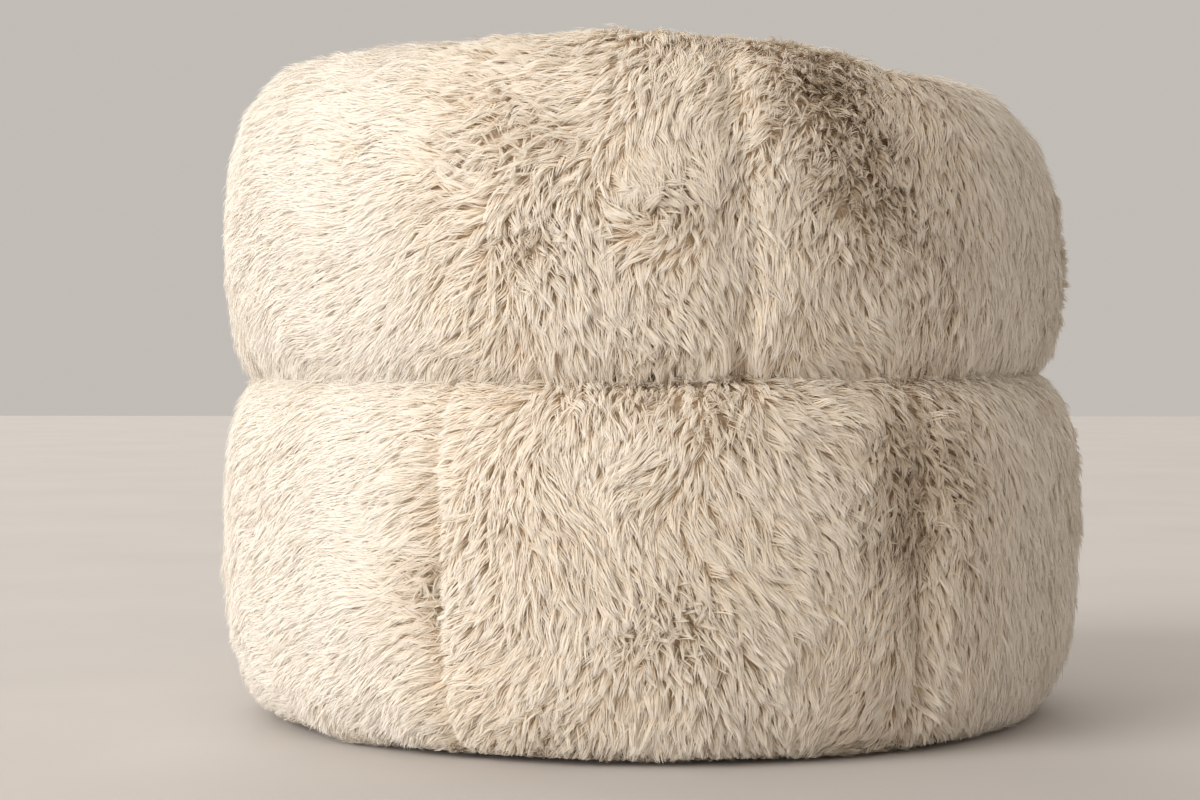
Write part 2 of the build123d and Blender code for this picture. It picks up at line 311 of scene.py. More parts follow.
def puff(name, verts, faces, pinned, pressure, cap):
    """Cloth simulation: the cloth swells between its pinned seams, by at most cap."""
    obj = new_object(name, verts, faces)
    group = obj.vertex_groups.new(name="pin")
    for i in np.nonzero(pinned > 0)[0]:
        group.add([int(i)], float(pinned[i]), "REPLACE")
    mod = obj.modifiers.new("cloth", "CLOTH")
    s = mod.settings
    s.quality = 5
    s.mass = 0.4
    s.tension_stiffness = s.compression_stiffness = 12
    s.shear_stiffness = 6
    s.bending_stiffness = 0.8
    s.use_pressure = True
    s.uniform_pressure_force = pressure
    s.vertex_group_mass = "pin"
    s.effector_weights.gravity = 0
    mod.collision_settings.use_collision = False
    scene = bpy.context.scene
    for number in range(1, 21):
        scene.frame_set(number)
    shown = obj.evaluated_get(bpy.context.evaluated_depsgraph_get())
    p = np.zeros(len(shown.data.vertices) * 3, np.float32)
    shown.data.vertices.foreach_get("co", p)
    moved = p.reshape(-1, 3).astype(float) - verts
    far = np.linalg.norm(moved, axis=1, keepdims=True)
    moved *= cap * np.tanh(far / cap) / np.maximum(far, 1e-9)
    bpy.data.objects.remove(obj)
    scene.frame_set(1)
    return verts + moved


def ease(share):
    """A smooth step from 0 to 1."""
    return 0.5 - 0.5 * np.cos(math.pi * np.clip(share, 0, 1))


def top_z(angle):
    """Height of the bolster: slumped on one side, easing down to the arm fronts."""
    level = BACK_TOP_Z - SLUMP * ease(angle / SLUMP_ANGLE) - FAR_SLUMP * ease(-angle / FAR_SLUMP_ANGLE)
    return level + (ARM_TOP_Z - level) * ease((np.abs(angle) - LEVEL_ANGLE) / (ARM_ANGLE - LEVEL_ANGLE))


class Skin:
    """A grid of cloth: its points, quads, and the quads of each fur panel."""

    def __init__(self, verts, faces, panels):
        self.verts, self.faces, self.panels = verts, faces, panels


def seam_weight(angles, seams, width):
    """1 at a seam, falling to 0 this many degrees away."""
    near = np.min(np.abs(angles[:, None] - np.array(seams)[None]), axis=1)
    return np.clip(1 - near / width, 0, 1)


def drum_skin():
    """The drum's wall: a rounded half section, turned, with a groove at each vertical seam."""
    r = DRUM_R - BACKING
    profile = smooth_curve([
        (BASE_R + 0.002, 0.008), (r - 0.049, 0.013), (r - 0.022, 0.050), (r - 0.006, 0.120),
        (r - 0.001, 0.200), (r, 0.270), (r - 0.005, 0.335), (r - 0.022, 0.384),
        (r - 0.054, WAIST_Z - 0.002), (r - 0.088, WAIST_Z + 0.001)], 47)
    angles = np.linspace(DRUM_SEAMS[0], DRUM_SEAMS[-1], 240, endpoint=False)
    out = around(angles)
    dip = seam_weight(angles, DRUM_SEAMS, SEAM_REACH) ** 2 * SEAM_DEPTH
    height = profile[:, 1]
    side = np.sin(np.clip((height - height[0]) / (height[-1] - height[0]), 0, 1) * math.pi) ** 0.5
    rad = profile[None, :, 0] - dip[:, None] * side[None, :]
    verts = out[:, None, :] * rad[..., None]
    verts[..., 2] = height[None, :]
    verts = verts.reshape(-1, 3)
    columns, rows = len(angles), len(profile)
    faces = grid_faces(columns, rows, True)
    pinned = np.zeros((columns, rows))
    pinned[:, 0] = pinned[:, -1] = 1
    pinned[seam_weight(angles, DRUM_SEAMS, PIN_REACH) > 0, :] = 1
    low, high = len(verts), len(verts) + 1
    closed = np.vstack([verts, [[0, 0, height[0]]], [[0, 0, height[-1]]]])
    lids = [(((i + 1) % columns) * rows, i * rows, low) for i in range(columns)]
    lids += [(i * rows + rows - 1, ((i + 1) % columns) * rows + rows - 1, high) for i in range(columns)]
    pins = np.concatenate([pinned.reshape(-1), [1, 1]])
    closed = puff("drum_cloth", closed, faces + lids, pins, SWELL, SWELL_CAP)
    verts = closed[:-2]
    panels = {}
    per = rows - 1
    for n in range(6):
        first, last = n * columns // 6, (n + 1) * columns // 6
        panels[f"drum_fur_panel_{n + 1}"] = range(first * per, last * per)
    return Skin(verts, faces, panels)


def bolster_skin():
    """The half section, swept round the outside, an arm front, the seat side and the other arm front."""
    shape = smooth_curve([(0.70, 0.0), (0.91, 0.11), (1.0, 0.38), (0.98, 0.64), (0.82, 0.84), (0.45, 0.965),
                          (0.15, 0.997), (0.0, 1.0)], 46)
    step = 1.5
    outer = np.linspace(-ARM_ANGLE, ARM_ANGLE, int(2 * ARM_ANGLE / step) + 1)
    turn = np.linspace(0, 180, 31)[1:-1]
    arm = np.full(len(turn), ARM_ANGLE)
    axis_angle = np.concatenate([outer, arm, outer[::-1], -arm])
    spin = np.concatenate([np.zeros(len(outer)), turn, np.full(len(outer), 180), turn + 180])
    direction = around(axis_angle + spin)
    axis = around(axis_angle) * RIDGE_R
    width = HALF_WIDTH - BACKING
    base = WAIST_Z + 0.003
    height = top_z(axis_angle) - TOP_BACKING - base
    dip = np.zeros(len(axis_angle))
    on_outer = np.arange(len(outer))
    on_inner = np.arange(len(outer)) + len(outer) + len(turn)
    dip[on_outer] = seam_weight(outer, OUTER_SEAMS[1:-1], SEAM_REACH) ** 2 * SEAM_DEPTH
    dip[on_inner] = seam_weight(outer[::-1], INNER_SEAMS[1:-1], INNER_SEAM_REACH) ** 2 * INNER_SEAM_DEPTH
    share = shape[None, :, :1]
    out = share * width - dip[:, None, None] * np.minimum(1, 2 * share)
    verts = axis[:, None, :] + direction[:, None, :] * out
    verts[..., 2] = base + shape[None, :, 1] * height[:, None]
    verts[..., 0] += LEAN_AT_WAIST + LEAN * (verts[..., 2] - base) / (BACK_TOP_Z - base)
    columns, rows = len(axis_angle), len(shape)
    verts = verts.reshape(-1, 3)
    faces = grid_faces(columns, rows, True)
    # the outside and the seat side share the ridge's points
    ridge = {}
    last = rows - 1
    for a, i in enumerate(on_outer):
        ridge[(on_inner[len(outer) - 1 - a]) * rows + last] = i * rows + last
    for i in range(len(outer), len(outer) + len(turn)):
        ridge[i * rows + last] = (len(outer) - 1) * rows + last
    for i in range(2 * len(outer) + len(turn), columns):
        ridge[i * rows + last] = last
    faces = [tuple(dict.fromkeys(ridge.get(v, v) for v in f)) for f in faces]
    floor = []
    for a in range(len(outer) - 1):
        i, j = on_outer[a] * rows, on_outer[a + 1] * rows
        m, n = on_inner[len(outer) - 1 - a] * rows, on_inner[len(outer) - 2 - a] * rows
        floor.append((j, i, m, n))
    first_turn = [len(outer) - 1] + list(range(len(outer), len(outer) + len(turn))) + [on_inner[0]]
    second_turn = [on_inner[-1]] + list(range(2 * len(outer) + len(turn), columns)) + [0]
    for ring in (first_turn, second_turn):
        floor.append(tuple(int(i) * rows for i in reversed(ring)))
    pinned = np.zeros((columns, rows))
    pinned[:, 0] = 1
    pinned[:, last] = 0.25
    pinned[on_outer[seam_weight(outer, OUTER_SEAMS, PIN_REACH) > 0], :] = 0.8
    pinned[on_inner[seam_weight(outer[::-1], INNER_SEAMS, PIN_REACH) > 0], :] = 0.8
    verts = puff("bolster_cloth", verts, faces + floor, pinned.reshape(-1), SWELL, SWELL_CAP)
    for copy, source in ridge.items():
        verts[copy] = verts[source]
    lining(verts, faces + floor)
    per = rows - 1
    panels = {}

    def span(node, columns_in):
        panels[node] = [c * per + k for c in columns_in for k in range(per)]

    for node, first, stop in zip(OUTER_NODES, OUTER_SEAMS, OUTER_SEAMS[1:]):
        span(node, [i for i in range(len(outer) - 1) if first <= (outer[i] + outer[i + 1]) / 2 < stop])
    for n in range(4):
        first, stop = INNER_SEAMS[n], INNER_SEAMS[n + 1]
        back = outer[::-1]
        span(f"inner_fur_panel_{n + 1}",
             [on_inner[i] for i in range(len(outer) - 1) if first <= (back[i] + back[i + 1]) / 2 < stop])
    span("arm_front_fur_right", range(len(outer) - 1, len(outer) + len(turn)))
    span("arm_front_fur_left", range(2 * len(outer) + len(turn) - 1, columns))
    return Skin(verts, faces, panels)


def lining(verts, faces):
    """The bolster's own lining and its stuffing, just under its fur cloth."""
    used = sorted({v for f in faces for v in f})
    index = {v: i for i, v in enumerate(used)}
    faces = [[index[v] for v in f] for f in faces]
    verts = verts[used]
    inward = -vertex_normals(verts, triangles(faces))
    lumps = Noise(0.05, 144)(verts)[:, None] * 0.0015
    for name, node, slot, depth in (("bolster_lining", "bolster_liner", "liner_cloth", LINING_DEPTH),
                                    ("bolster_stuffing", "bolster_fill", "fill", STUFFING_DEPTH)):
        inner = verts + inward * (depth + lumps)
        inner[:, 2] = np.clip(inner[:, 2], WAIST_Z + depth / 2, None)
        obj = new_object(name, inner, faces)
        for poly in obj.data.polygons:
            poly.use_smooth = True
        if slot == "liner_cloth":
            cloth = obj.modifiers.new("thickness", "SOLIDIFY")
            cloth.thickness = 0.001
            cloth.offset = -1
        obj.data.materials.append(MATERIALS[slot])
        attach(obj, "root")
        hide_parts(node)


def base_half(node, side):
    """Half of the quilted base: soft diamonds, with a channel beside the zip."""
    zip_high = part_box("base_zip_tape_rear")[1]
    stop_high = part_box("base_zip_stops")[1]
    end = zip_high.x + 0.006
    channel = zip_high.y + 0.002
    slit = stop_high.y + 0.006
    across = -BASE_R * np.cos(np.radians(np.linspace(4, 176, 260)))
    run = np.linspace(0, 1, 44)
    in_zip = ease((end + 0.004 - np.abs(across)) / 0.008)
    # the slit closes behind the ends of the tapes, past the stops
    in_slit = ease((stop_high.x + 0.006 - np.abs(across)) / 0.005)
    near_edge = 0.0003 + (slit - 0.0003) * in_slit
    far_edge = np.sqrt(BASE_R**2 - across**2)
    x = np.repeat(across[:, None], len(run), 1)
    y = near_edge[:, None] + (far_edge - near_edge)[:, None] * run[None]
    quilt = np.abs(np.sin((x + y) * math.pi / QUILT)) * np.abs(np.sin((x - y) * math.pi / QUILT))
    low = 0.0004 + QUILT_DEPTH * (1 - quilt**0.5)
    rim = ease((np.hypot(x, y) - BASE_R + 0.014) / 0.014)
    low += rim * 0.004
    room = ease((channel + 0.004 - y) / 0.004) * in_zip[:, None]
    low = np.maximum(low, (zip_high.z + 0.0004) * room)
    high = BASE_H - 0.0004 - rim * 0.003 - 0.0005 * (1 - quilt)
    high = np.maximum(high, low + 0.0008)
    ring_x = np.concatenate([x, x[:, ::-1]], 1)
    ring_y = np.concatenate([y, y[:, ::-1]], 1) * side
    ring_z = np.concatenate([low, high[:, ::-1]], 1)
    verts = np.stack([ring_x, ring_y, ring_z], -1).reshape(-1, 3)
    columns, rows = len(across), 2 * len(run)
    faces = []
    for i in range(columns - 1):
        for k in range(rows):
            m = (k + 1) % rows
            faces.append((i * rows + k, (i + 1) * rows + k, (i + 1) * rows + m, i * rows + m))
    faces.append(tuple(range(rows)))
    faces.append(tuple(reversed(range((columns - 1) * rows, columns * rows))))
    if side > 0:
        faces = [tuple(reversed(f)) for f in faces]
    obj = new_object(node.replace("base_cloth", "base_quilt"), verts, faces)
    for poly in obj.data.polygons:
        poly.use_smooth = True
    obj.data.materials.append(MATERIALS["base_cloth"])
    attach(obj, "root")
    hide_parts(node)


def zip_coil(node):
    """One zip coil: a flattened spiral of wire, in the place of the frame's plain rail."""
    low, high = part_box(node)
    middle, half = (low + high) / 2, (high - low) / 2
    turns = round(2 * half.x / COIL_PITCH)
    share = np.linspace(0, 1, turns * COIL_STEPS + 1)
    spin = 2 * math.pi * turns * share
    outward = np.stack([np.zeros_like(spin), np.cos(spin), np.sin(spin)], -1)
    reach = np.array([0, half.y - COIL_WIRE, half.z - COIL_WIRE])
    line = np.array(middle) + outward * reach
    line[:, 0] = low.x + COIL_WIRE + 2 * (half.x - COIL_WIRE) * share
    along = unit(np.gradient(line, axis=0))
    across = unit(np.cross(along, outward))
    outward = np.cross(across, along)
    verts = []
    for k in range(COIL_SIDES):
        angle = 2 * math.pi * k / COIL_SIDES
        verts.append(line + COIL_WIRE * (math.cos(angle) * outward + math.sin(angle) * across))
    verts = np.stack(verts, 1).reshape(-1, 3)
    faces = [tuple(range(COIL_SIDES)), tuple(range(len(verts) - 1, len(verts) - 1 - COIL_SIDES, -1))]
    for i in range(len(line) - 1):
        for k in range(COIL_SIDES):
            m = (k + 1) % COIL_SIDES
            a, b = i * COIL_SIDES, (i + 1) * COIL_SIDES
            faces.append((a + m, a + k, b + k, b + m))
    obj = new_object(node.replace("coil", "spiral"), verts, faces)
    for poly in obj.data.polygons:
        poly.use_smooth = True
    obj.data.materials.append(MATERIALS["zip_coil"])
    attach(obj, "root")
    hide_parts(node)


def seat_skin():
    """The seat's CAD solid, remeshed finely and swollen as cloth."""
    source = frame["nodes"]["seat_fur_panel"]
    obj = source.copy()
    obj.data = source.data.copy()
    obj.name = "seat_cloth"
    obj.parent = None
    bpy.context.scene.collection.objects.link(obj)
    remesh = obj.modifiers.new("remesh", "REMESH")
    remesh.mode = "VOXEL"
    remesh.voxel_size = SEAT_VOXEL
    shown = obj.evaluated_get(bpy.context.evaluated_depsgraph_get())
    mesh = bpy.data.meshes.new_from_object(shown)
    bpy.data.objects.remove(obj)
    p = np.zeros(len(mesh.vertices) * 3, np.float32)
    mesh.vertices.foreach_get("co", p)
    verts = p.reshape(-1, 3).astype(float)
    faces = [tuple(f.vertices) for f in mesh.polygons]
    bpy.data.meshes.remove(mesh)
    # the cushion's sides press out against the arms and the back
    normals = vertex_normals(verts, triangles(faces))
    inside = np.hypot(verts[:, 0], verts[:, 1]) < DRUM_R - 0.080
    press = (1 - np.abs(normals[:, 2])) * inside * SEAT_PRESS
    verts[:, :2] += normals[:, :2] * press[:, None]
    low = verts[:, 2].min()
    verts[:, 2] = low + (verts[:, 2] - low) * SEAT_FLATTEN
    pinned = (verts[:, 2] < low + 0.004).astype(float)
    verts = puff("seat_cloth", verts, faces, pinned, SEAT_SWELL, SEAT_SWELL_CAP)
    normals = face_normals(verts, faces)
    top = [i for i, n in enumerate(normals) if n[2] > -0.3]
    return Skin(verts, faces, {"seat_fur_panel": top})


def face_normals(verts, faces):
    """The unit normal of each triangle or quad."""
    out = np.zeros((len(faces), 3))
    for i, f in enumerate(faces):
        a, b, c = verts[f[0]], verts[f[1]], verts[f[2]]
        out[i] = np.cross(b - a, c - a)
        if len(f) == 4:
            out[i] += np.cross(c - a, verts[f[3]] - a)
    return unit(out)


def triangles(faces):
    """The faces as fans of triangles."""
    out = []
    for f in faces:
        for k in range(1, len(f) - 1):
            out.append((f[0], f[k], f[k + 1]))
    return np.array(out)


def vertex_normals(verts, tris):
    """The unit normal of each point, weighted by its triangles' areas."""
    n = np.cross(verts[tris[:, 1]] - verts[tris[:, 0]], verts[tris[:, 2]] - verts[tris[:, 0]])
    out = np.zeros_like(verts)
    for k in range(3):
        np.add.at(out, tris[:, k], n)
    return unit(out)


def skin_piece(node, skin):
    """The backing cloth of one fur panel, with a real thickness."""
    chosen = [skin.faces[i] for i in skin.panels[node]]
    used = sorted({v for f in chosen for v in f})
    index = {v: i for i, v in enumerate(used)}
    faces = [[index[v] for v in f] for f in chosen]
    obj = new_object(node.replace("_fur", "_backing"), skin.verts[used], faces)
    solid = obj.modifiers.new("thickness", "SOLIDIFY")
    solid.thickness = CLOTH
    solid.offset = -1
    for poly in obj.data.polygons:
        poly.use_smooth = True
    obj.data.materials.append(MATERIALS["backing"])
    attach(obj, "root")
    return obj


# ---------------------------------------------------------------------------
# Fur
# ---------------------------------------------------------------------------
swirl_large = Noise(0.55, 3)
swirl_small = Noise(0.16, 5)
swirl_fine = Noise(0.05, 8)
lift_noise = Noise(0.20, 21)
patch_noise = Noise(0.13, 34)
length_noise = Noise(0.10, 55)
ragged_noise = Noise(0.045, 61)
tone_noise = Noise(0.09, 89)
fringe_noise = Noise(0.25, 97)

# How the outside is brushed: (angle round the chair, height, reach, direction, strength).
# A direction of 0 is straight down, and positive directions turn towards larger angles.
STROKES = [
    # bolster
    (-62, 0.58, 0.13, -78, 1.0), (-38, 0.60, 0.09, -82, 1.0), (-38, 0.70, 0.06, -70, 0.8),
    (-30, 0.50, 0.06, -60, 0.8), (-27, 0.44, 0.04, -45, 0.8), (-11, 0.72, 0.04, -85, 1.0),
    (-15, 0.65, 0.03, -45, 0.6), (-14, 0.55, 0.03, 35, 1.0), (-7, 0.50, 0.05, 5, 1.0),
    (7, 0.50, 0.035, 45, 1.0), (4, 0.66, 0.04, 15, 0.7), (16, 0.60, 0.03, 5, 0.9),
    (17, 0.50, 0.03, 10, 0.9), (24, 0.50, 0.05, 32, 1.0), (25, 0.435, 0.03, 70, 1.0),
    (27, 0.71, 0.06, -40, 1.0), (36, 0.50, 0.05, -10, 1.0), (50, 0.60, 0.12, -14, 1.0),
    (72, 0.58, 0.12, -5, 1.0),
    # drum
    (-62, 0.24, 0.13, -80, 1.0), (-38, 0.28, 0.09, -86, 1.0), (-32, 0.10, 0.06, -62, 0.8),
    (-21, 0.25, 0.03, -35, 1.0), (-12, 0.05, 0.05, -30, 0.6), (-9, 0.24, 0.06, 25, 1.0),
    (0, 0.295, 0.03, -60, 1.0), (10, 0.26, 0.07, 36, 1.2), (19, 0.385, 0.025, 85, 1.2),
    (18, 0.17, 0.05, 35, 0.8), (8, 0.09, 0.06, 0, 1.0), (25, 0.12, 0.05, -32, 1.0),
    (31, 0.27, 0.05, -25, 1.0), (37, 0.33, 0.04, 0, 0.8), (50, 0.22, 0.12, 6, 1.0),
    (72, 0.22, 0.12, 0, 1.0),
]
# Where the pile stands up and curls, with painted shade in its curls: (angle, height, reach, strength)
CURLS = [
    (-15, 0.66, 0.034, 1.0), (-15, 0.55, 0.024, 0.9), (29, 0.60, 0.042, 1.0), (1.5, 0.58, 0.028, 0.6),
    (1.5, 0.43, 0.022, 0.8), (24, 0.71, 0.045, 0.8), (-38, 0.66, 0.02, 0.25), (-28, 0.17, 0.03, 0.7),
    (-11.5, 0.06, 0.02, 0.9), (-2, 0.15, 0.022, 0.8), (3.5, 0.165, 0.034, 0.9), (35, 0.30, 0.055, 0.9),
    (8, 0.37, 0.02, 0.6),
]
# Where the pile turns round a point: (angle, height, reach, spin)
WHORLS = [(1.3, 0.58, 0.030, 1.0), (-0.5, 0.29, 0.028, -1.0)]
BRUSHED = 84.0       # the strokes cover the back as far as this angle to each side


def polar(points):
    """The angle round the chair, in degrees, of each point."""
    return np.degrees(np.arctan2(-points[:, 0], points[:, 1]))


def outside(points):
    """1 on the outside of the chair, falling to 0 over the ridge."""
    distance = np.hypot(points[:, 0], points[:, 1])
    return np.where(points[:, 2] > WAIST_Z, ease((distance - RIDGE_R + 0.01) / 0.03), 1.0)


def offsets(angles, heights, mark):
    """Distances along and up the outside from a mark, in metres."""
    return np.radians(angles - mark[0]) * DRUM_R, heights - mark[1]


def near(angles, heights, mark):
    """1 at a mark, fading out over its reach."""
    along, up = offsets(angles, heights, mark)
    return np.exp(-(along**2 + up**2) / (2 * mark[2] ** 2))


def comb(points, normals):
    """The direction that the pile is brushed in, along the cloth."""
    radial = points.copy()
    radial[:, 2] = 0
    distance = np.linalg.norm(radial, axis=1)
    radial = unit(radial)
    over_ridge = np.clip((distance - RIDGE_R) / 0.06, -1, 1)
    upper = points[:, 2] > WAIST_Z
    outward = np.where(upper, over_ridge, 1.0)[:, None] * radial
    base = np.array([[0, 0, -1.0]]) + outward * 0.8
    base = unit(base - np.sum(base * normals, 1, keepdims=True) * normals)
    across = np.cross(normals, base)

    angles, heights = polar(points), points[:, 2]
    side_sum, down_sum = np.zeros(len(points)), np.full(len(points), 0.10)
    cover = np.zeros(len(points))
    for mark in STROKES:
        weight = near(angles, heights, mark) * mark[4]
        side_sum += weight * math.sin(math.radians(mark[3]))
        down_sum += weight * math.cos(math.radians(mark[3]))
        cover += weight
    for mark in WHORLS:
        along, up = offsets(angles, heights, mark)
        weight = near(angles, heights, mark) * 1.1 * mark[3]
        side_sum += weight * up / mark[2]
        down_sum += weight * along / mark[2]
    back = outside(points) * ease((BRUSHED - np.abs(angles)) / 25)
    brushed = np.arctan2(side_sum, down_sum) * back
    free = 1 - 0.85 * back * np.clip(cover * 1.6, 0, 1)
    turn = brushed + free * (0.75 * swirl_large(points) + 0.45 * swirl_small(points))
    turn += (0.10 + 0.08 * free) * swirl_fine(points) + 0.16 * swirl_small(points)
    turn = turn[:, None]
    return unit(base * np.cos(turn) + across * np.sin(turn))


def softness(points):
    """1 where the pile lies sleek and even, round both sides of the back."""
    angles = polar(points)
    left = ease((-22 - angles) / 14)
    right = ease((angles - 40) / 14)
    return np.where(np.abs(angles) < BRUSHED, np.maximum(left, right), 0.45) * outside(points)


def curliness(points):
    """How far the pile stands up and curls, from 0 to 1."""
    angles, heights = polar(points), points[:, 2]
    marked = np.zeros(len(points))
    for mark in CURLS:
        marked += near(angles, heights, mark) * mark[3]
    back = outside(points) * ease((BRUSHED - np.abs(angles)) / 25)
    marked *= 1 + 0.45 * ragged_noise(points)
    loose = np.clip(patch_noise(points) * 1.3 + 0.5 * ragged_noise(points) - 0.95, 0, 0.40)
    return np.clip(marked * back * 1.25 + loose * (1 - 0.8 * back), 0, 1)


def seam_distance(points):
    """Distance along the outside to the nearest vertical seam."""
    angles = polar(points)
    upper = points[:, 2] > WAIST_Z
    out = np.full(len(points), 1.0)
    for seams, chosen in ((OUTER_SEAMS[1:-1], upper), (DRUM_SEAMS, ~upper)):
        for seam in seams:
            gap = np.abs((angles - seam + 180) % 360 - 180)
            out = np.where(chosen, np.minimum(out, np.radians(gap) * DRUM_R), out)
    return out


def pile_height(points):
    """The pile's length, as a share: short beside the seams and at the waist."""
    seam = 1 - 0.48 * np.exp(-(seam_distance(points) / 0.009) ** 2) * outside(points)
    above = points[:, 2] > WAIST_Z
    waist = np.where(above, 0.92, 0.70)
    waist = waist + (1 - waist) * ease(np.abs(points[:, 2] - WAIST_Z) / 0.045)
    floor = 0.70 + 0.30 * ease((points[:, 2] - BASE_H) / 0.045)
    return seam * np.where(outside(points) > 0, waist, 1.0) * floor


LENGTH = 0.036
WIDTH = 0.00108
LOCK = 0.0095              # size of a lock of pile
CURL_LOCK = 0.0070         # and of a curl, where the pile stands
STEPS = (0.0, 0.36, 0.70, 1.0)       # where a strand's line bends, along its length
TAPER = (1.0, 0.95, 0.72)            # its width at each bend
POINTS = 2 * len(TAPER) + 1
GATHER = (0.10, 0.36, 0.64)          # how far a lock draws together at each bend and at the tips
RISE = 46.0                # how steeply a strand leaves the cloth, in degrees
CURL_RISE = 34.0           # how much more steeply where the pile curls
ARCH = 58.0                # how far it bends over on its way to the tip
LOWEST_TIP = 0.002
LOWEST_POINT = 0.0015
MOST_STRANDS = 39000       # in one piece


def scatter(skin, node, density, r):
    """Root points and cloth normals, spread evenly over one panel."""
    tris = triangles([skin.faces[i] for i in skin.panels[node]])
    a, b, c = (skin.verts[tris[:, k]] for k in range(3))
    area = np.linalg.norm(np.cross(b - a, c - a), axis=1) / 2
    count = int(area.sum() * density)
    pick = r.choice(len(tris), count, p=area / area.sum())
    u, v = r.random(count), r.random(count)
    flip = u + v > 1
    u[flip], v[flip] = 1 - u[flip], 1 - v[flip]
    shares = np.stack([u, v, 1 - u - v], -1)[..., None]
    corners = tris[pick]
    root = (skin.verts[corners] * shares).sum(1)
    normal = unit((skin.normals[corners] * shares).sum(1))
    # nothing grows where the drum's cloth is tucked under the bolster and the seat
    shown = (root[:, 2] < WAIST_Z - 0.0015) | (root[:, 2] > WAIST_Z + 0.0025)
    root, normal = root[shown], normal[shown]
    order = np.argsort(polar(root))
    return root[order], normal[order]


def cells(points, size, seed):
    """Number the wobbly cells of a given size that the points fall in."""
    warp = np.stack([Noise(size * 2.8, seed + k)(points) for k in range(3)], -1) * size * 0.55
    key = np.floor((points + warp) / size).astype(np.int64)
    return np.unique(key, axis=0, return_inverse=True)[1].reshape(-1)


class Locks:
    """Strands whose roots fall in the same cell lean and wave together."""

    def __init__(self, root, curly):
        big, small = cells(root, LOCK, 70), cells(root, CURL_LOCK, 80)
        numbers = np.where(curly, small + big.max() + 1, big)
        self.of = np.unique(numbers, return_inverse=True)[1].reshape(-1)
        self.count = self.of.max() + 1
        self.size = np.bincount(self.of, minlength=self.count)

    def mean(self, points):
        """For each strand, the middle of its lock's points."""
        sums = [np.bincount(self.of, points[:, j], self.count) for j in range(3)]
        return (np.stack(sums, -1) / self.size[:, None])[self.of]


def ribbons(line, normal, soft, width, r):
    """Tapered ribbons along the strands' lines: their points, and the way that each point faces the light."""
    count = len(normal)
    twist = np.clip(r.normal(0, 0.45, count), -1.2, 1.2)
    verts = np.zeros((count, POINTS, 3))
    shade = np.zeros((count, POINTS, 3))
    for k, share in enumerate(TAPER):
        go = unit(line[k + 1] - line[k])
        flat = unit(np.cross(go, normal))
        up = np.cross(flat, go)
        across = flat * np.cos(twist)[:, None] + up * np.sin(twist)[:, None]
        half = across * (width / 2 * share)[:, None]
        verts[:, 2 * k] = line[k] - half
        verts[:, 2 * k + 1] = line[k] + half
        facing = unit(0.62 * soft + 0.38 * up)
        shade[:, 2 * k] = unit(facing - 0.25 * flat)
        shade[:, 2 * k + 1] = unit(facing + 0.25 * flat)
        shade[:, 6] = facing
    verts[:, 6] = line[3]
    verts[..., 2] = np.maximum(verts[..., 2], LOWEST_POINT)
    return verts, shade


